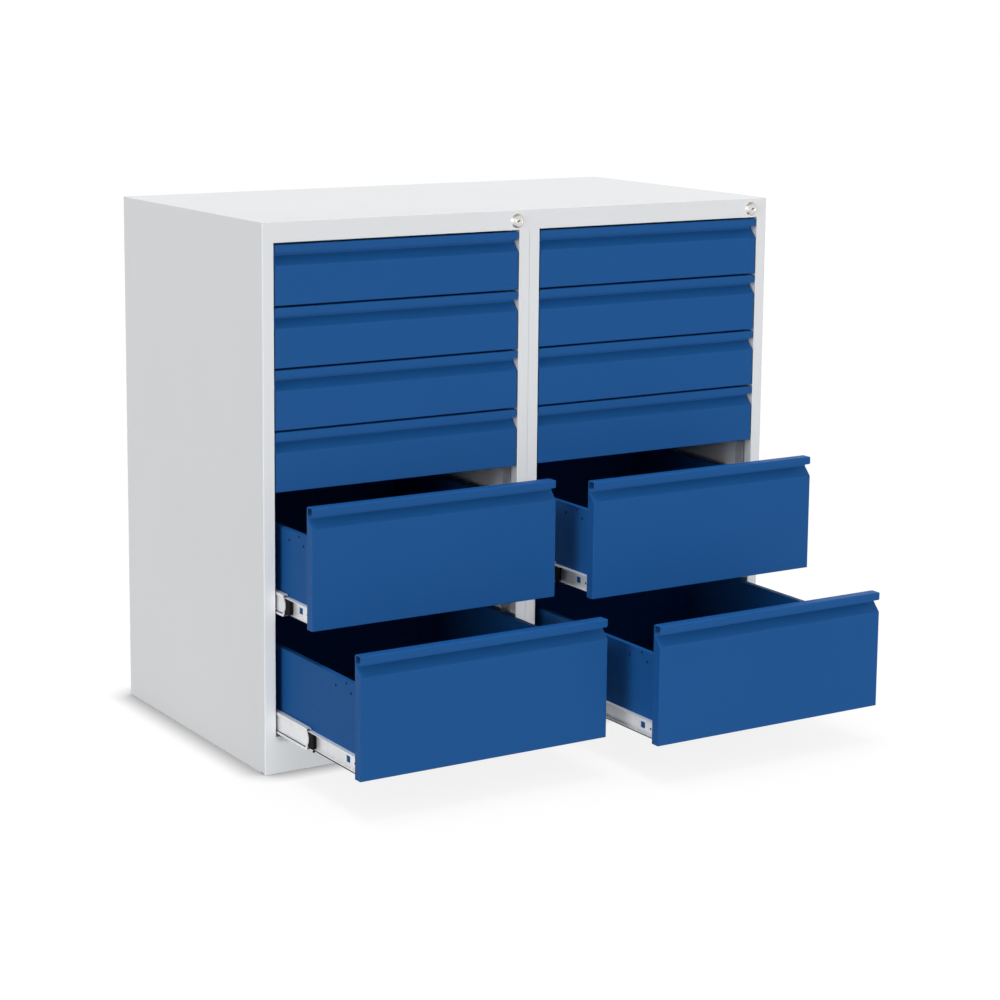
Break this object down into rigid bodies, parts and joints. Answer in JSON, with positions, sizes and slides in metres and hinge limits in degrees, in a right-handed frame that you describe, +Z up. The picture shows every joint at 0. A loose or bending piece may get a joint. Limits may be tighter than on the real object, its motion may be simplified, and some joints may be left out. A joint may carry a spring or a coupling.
{
  "type": "industrial drawer cabinet",
  "caption": "Steel workshop cabinet: shallow and deep drawers in two columns on telescopic ball slides, each column locked by its own bar.",
  "frame": {"origin": "on the floor, under the middle of the cabinet", "axes": "+Z up, -Y the way the drawers open, +X to the right of someone facing the fronts"},
  "size_m": [1, 0.8965, 0.9],
  "materials": {
    "light_grey_powder_coat": "fine satin powder coat",
    "gentian_blue_powder_coat": "satin powder coat",
    "bright_zinc_plate": "bright zinc plate",
    "nickel_plate": "polished nickel plate"
  },
  "bodies": {
    "cabinet": {"left_side_panel": "light_grey_powder_coat", "right_side_panel": "light_grey_powder_coat", "centre_partition": "light_grey_powder_coat", "top_panel": "light_grey_powder_coat", "base_panel": "light_grey_powder_coat", "back_panel": "light_grey_powder_coat", "lock_housing_left": "nickel_plate", "lock_housing_right": "nickel_plate"},
    "left_drawer_1": {"left_drawer_1_front": "gentian_blue_powder_coat", "left_drawer_1_box": "gentian_blue_powder_coat"},
    "left_drawer_1_middle": {"left_drawer_1_left_middle_slide": "bright_zinc_plate", "left_drawer_1_right_middle_slide": "bright_zinc_plate"},
    "left_drawer_2": {"left_drawer_2_front": "gentian_blue_powder_coat", "left_drawer_2_box": "gentian_blue_powder_coat"},
    "left_drawer_2_middle": {"left_drawer_2_left_middle_slide": "bright_zinc_plate", "left_drawer_2_right_middle_slide": "bright_zinc_plate"},
    "left_drawer_3": {"left_drawer_3_front": "gentian_blue_powder_coat", "left_drawer_3_box": "gentian_blue_powder_coat"},
    "left_drawer_3_middle": {"left_drawer_3_left_middle_slide": "bright_zinc_plate", "left_drawer_3_right_middle_slide": "bright_zinc_plate"},
    "left_drawer_4": {"left_drawer_4_front": "gentian_blue_powder_coat", "left_drawer_4_box": "gentian_blue_powder_coat"},
    "left_drawer_4_middle": {"left_drawer_4_left_middle_slide": "bright_zinc_plate", "left_drawer_4_right_middle_slide": "bright_zinc_plate"},
    "left_drawer_5": {"left_drawer_5_front": "gentian_blue_powder_coat", "left_drawer_5_box": "gentian_blue_powder_coat"},
    "left_drawer_5_middle": {"left_drawer_5_left_middle_slide": "bright_zinc_plate", "left_drawer_5_right_middle_slide": "bright_zinc_plate"},
    "left_drawer_6": {"left_drawer_6_front": "gentian_blue_powder_coat", "left_drawer_6_box": "gentian_blue_powder_coat"},
    "left_drawer_6_middle": {"left_drawer_6_left_middle_slide": "bright_zinc_plate", "left_drawer_6_right_middle_slide": "bright_zinc_plate"},
    "right_drawer_1": {"right_drawer_1_front": "gentian_blue_powder_coat", "right_drawer_1_box": "gentian_blue_powder_coat"},
    "right_drawer_1_middle": {"right_drawer_1_left_middle_slide": "bright_zinc_plate", "right_drawer_1_right_middle_slide": "bright_zinc_plate"},
    "right_drawer_2": {"right_drawer_2_front": "gentian_blue_powder_coat", "right_drawer_2_box": "gentian_blue_powder_coat"},
    "right_drawer_2_middle": {"right_drawer_2_left_middle_slide": "bright_zinc_plate", "right_drawer_2_right_middle_slide": "bright_zinc_plate"},
    "right_drawer_3": {"right_drawer_3_front": "gentian_blue_powder_coat", "right_drawer_3_box": "gentian_blue_powder_coat"},
    "right_drawer_3_middle": {"right_drawer_3_left_middle_slide": "bright_zinc_plate", "right_drawer_3_right_middle_slide": "bright_zinc_plate"},
    "right_drawer_4": {"right_drawer_4_front": "gentian_blue_powder_coat", "right_drawer_4_box": "gentian_blue_powder_coat"},
    "right_drawer_4_middle": {"right_drawer_4_left_middle_slide": "bright_zinc_plate", "right_drawer_4_right_middle_slide": "bright_zinc_plate"},
    "right_drawer_5": {"right_drawer_5_front": "gentian_blue_powder_coat", "right_drawer_5_box": "gentian_blue_powder_coat"},
    "right_drawer_5_middle": {"right_drawer_5_left_middle_slide": "bright_zinc_plate", "right_drawer_5_right_middle_slide": "bright_zinc_plate"},
    "right_drawer_6": {"right_drawer_6_front": "gentian_blue_powder_coat", "right_drawer_6_box": "gentian_blue_powder_coat"},
    "right_drawer_6_middle": {"right_drawer_6_left_middle_slide": "bright_zinc_plate", "right_drawer_6_right_middle_slide": "bright_zinc_plate"},
    "lock_cylinder_left": {"lock_cylinder_left": "nickel_plate"},
    "locking_bar_left": {"locking_bar_left": "bright_zinc_plate"},
    "lock_cylinder_right": {"lock_cylinder_right": "nickel_plate"},
    "locking_bar_right": {"locking_bar_right": "bright_zinc_plate"}
  },
  "joints": [
    {"name": "left_drawer_1_slide", "type": "slide", "parent": "cabinet", "child": "left_drawer_1", "axis": [0, -1, 0], "range_m": [0, 0.5]},
    {"name": "left_drawer_1_middle_slide", "type": "slide", "parent": "cabinet", "child": "left_drawer_1_middle", "axis": [0, -1, 0], "range_m": [0, 0.25]},
    {"name": "left_drawer_2_slide", "type": "slide", "parent": "cabinet", "child": "left_drawer_2", "axis": [0, -1, 0], "range_m": [0, 0.5]},
    {"name": "left_drawer_2_middle_slide", "type": "slide", "parent": "cabinet", "child": "left_drawer_2_middle", "axis": [0, -1, 0], "range_m": [0, 0.25]},
    {"name": "left_drawer_3_slide", "type": "slide", "parent": "cabinet", "child": "left_drawer_3", "axis": [0, -1, 0], "range_m": [0, 0.5]},
    {"name": "left_drawer_3_middle_slide", "type": "slide", "parent": "cabinet", "child": "left_drawer_3_middle", "axis": [0, -1, 0], "range_m": [0, 0.25]},
    {"name": "left_drawer_4_slide", "type": "slide", "parent": "cabinet", "child": "left_drawer_4", "axis": [0, -1, 0], "range_m": [0, 0.5]},
    {"name": "left_drawer_4_middle_slide", "type": "slide", "parent": "cabinet", "child": "left_drawer_4_middle", "axis": [0, -1, 0], "range_m": [0, 0.25]},
    {"name": "left_drawer_5_slide", "type": "slide", "parent": "cabinet", "child": "left_drawer_5", "axis": [0, -1, 0], "range_m": [-0.123, 0.377]},
    {"name": "left_drawer_5_middle_slide", "type": "slide", "parent": "cabinet", "child": "left_drawer_5_middle", "axis": [0, -1, 0], "range_m": [-0.0615, 0.1885]},
    {"name": "left_drawer_6_slide", "type": "slide", "parent": "cabinet", "child": "left_drawer_6", "axis": [0, -1, 0], "range_m": [-0.2785, 0.2215]},
    {"name": "left_drawer_6_middle_slide", "type": "slide", "parent": "cabinet", "child": "left_drawer_6_middle", "axis": [0, -1, 0], "range_m": [-0.13925, 0.11075]},
    {"name": "right_drawer_1_slide", "type": "slide", "parent": "cabinet", "child": "right_drawer_1", "axis": [0, -1, 0], "range_m": [0, 0.5]},
    {"name": "right_drawer_1_middle_slide", "type": "slide", "parent": "cabinet", "child": "right_drawer_1_middle", "axis": [0, -1, 0], "range_m": [0, 0.25]},
    {"name": "right_drawer_2_slide", "type": "slide", "parent": "cabinet", "child": "right_drawer_2", "axis": [0, -1, 0], "range_m": [0, 0.5]},
    {"name": "right_drawer_2_middle_slide", "type": "slide", "parent": "cabinet", "child": "right_drawer_2_middle", "axis": [0, -1, 0], "range_m": [0, 0.25]},
    {"name": "right_drawer_3_slide", "type": "slide", "parent": "cabinet", "child": "right_drawer_3", "axis": [0, -1, 0], "range_m": [0, 0.5]},
    {"name": "right_drawer_3_middle_slide", "type": "slide", "parent": "cabinet", "child": "right_drawer_3_middle", "axis": [0, -1, 0], "range_m": [0, 0.25]},
    {"name": "right_drawer_4_slide", "type": "slide", "parent": "cabinet", "child": "right_drawer_4", "axis": [0, -1, 0], "range_m": [0, 0.5]},
    {"name": "right_drawer_4_middle_slide", "type": "slide", "parent": "cabinet", "child": "right_drawer_4_middle", "axis": [0, -1, 0], "range_m": [0, 0.25]},
    {"name": "right_drawer_5_slide", "type": "slide", "parent": "cabinet", "child": "right_drawer_5", "axis": [0, -1, 0], "range_m": [-0.17, 0.33]},
    {"name": "right_drawer_5_middle_slide", "type": "slide", "parent": "cabinet", "child": "right_drawer_5_middle", "axis": [0, -1, 0], "range_m": [-0.085, 0.165]},
    {"name": "right_drawer_6_slide", "type": "slide", "parent": "cabinet", "child": "right_drawer_6", "axis": [0, -1, 0], "range_m": [-0.3615, 0.1385]},
    {"name": "right_drawer_6_middle_slide", "type": "slide", "parent": "cabinet", "child": "right_drawer_6_middle", "axis": [0, -1, 0], "range_m": [-0.18075, 0.06925]},
    {"name": "lock_left_turn", "type": "hinge", "parent": "cabinet", "child": "lock_cylinder_left", "pos_m": [-0.0245, -0.2675, 0.88201], "axis": [0, -1, 0], "range_deg": [0, 90]},
    {"name": "locking_bar_left_lift", "type": "slide", "parent": "cabinet", "child": "locking_bar_left", "axis": [0, 0, 1], "range_m": [0, 0.012]},
    {"name": "lock_right_turn", "type": "hinge", "parent": "cabinet", "child": "lock_cylinder_right", "pos_m": [0.4665, -0.2675, 0.88201], "axis": [0, -1, 0], "range_deg": [0, 90]},
    {"name": "locking_bar_right_lift", "type": "slide", "parent": "cabinet", "child": "locking_bar_right", "axis": [0, 0, 1], "range_m": [0, 0.012]}
  ],
  "couplings": [
    {"joint": "left_drawer_1_middle_slide", "follows": "left_drawer_1_slide", "ratio": 0.5},
    {"joint": "left_drawer_2_middle_slide", "follows": "left_drawer_2_slide", "ratio": 0.5},
    {"joint": "left_drawer_3_middle_slide", "follows": "left_drawer_3_slide", "ratio": 0.5},
    {"joint": "left_drawer_4_middle_slide", "follows": "left_drawer_4_slide", "ratio": 0.5},
    {"joint": "left_drawer_5_middle_slide", "follows": "left_drawer_5_slide", "ratio": 0.5},
    {"joint": "left_drawer_6_middle_slide", "follows": "left_drawer_6_slide", "ratio": 0.5},
    {"joint": "right_drawer_1_middle_slide", "follows": "right_drawer_1_slide", "ratio": 0.5},
    {"joint": "right_drawer_2_middle_slide", "follows": "right_drawer_2_slide", "ratio": 0.5},
    {"joint": "right_drawer_3_middle_slide", "follows": "right_drawer_3_slide", "ratio": 0.5},
    {"joint": "right_drawer_4_middle_slide", "follows": "right_drawer_4_slide", "ratio": 0.5},
    {"joint": "right_drawer_5_middle_slide", "follows": "right_drawer_5_slide", "ratio": 0.5},
    {"joint": "right_drawer_6_middle_slide", "follows": "right_drawer_6_slide", "ratio": 0.5},
    {"joint": "lock_left_turn", "follows": "locking_bar_left_lift", "rad_per_m": 130.9},
    {"joint": "lock_right_turn", "follows": "locking_bar_right_lift", "rad_per_m": 130.9}
  ]
}
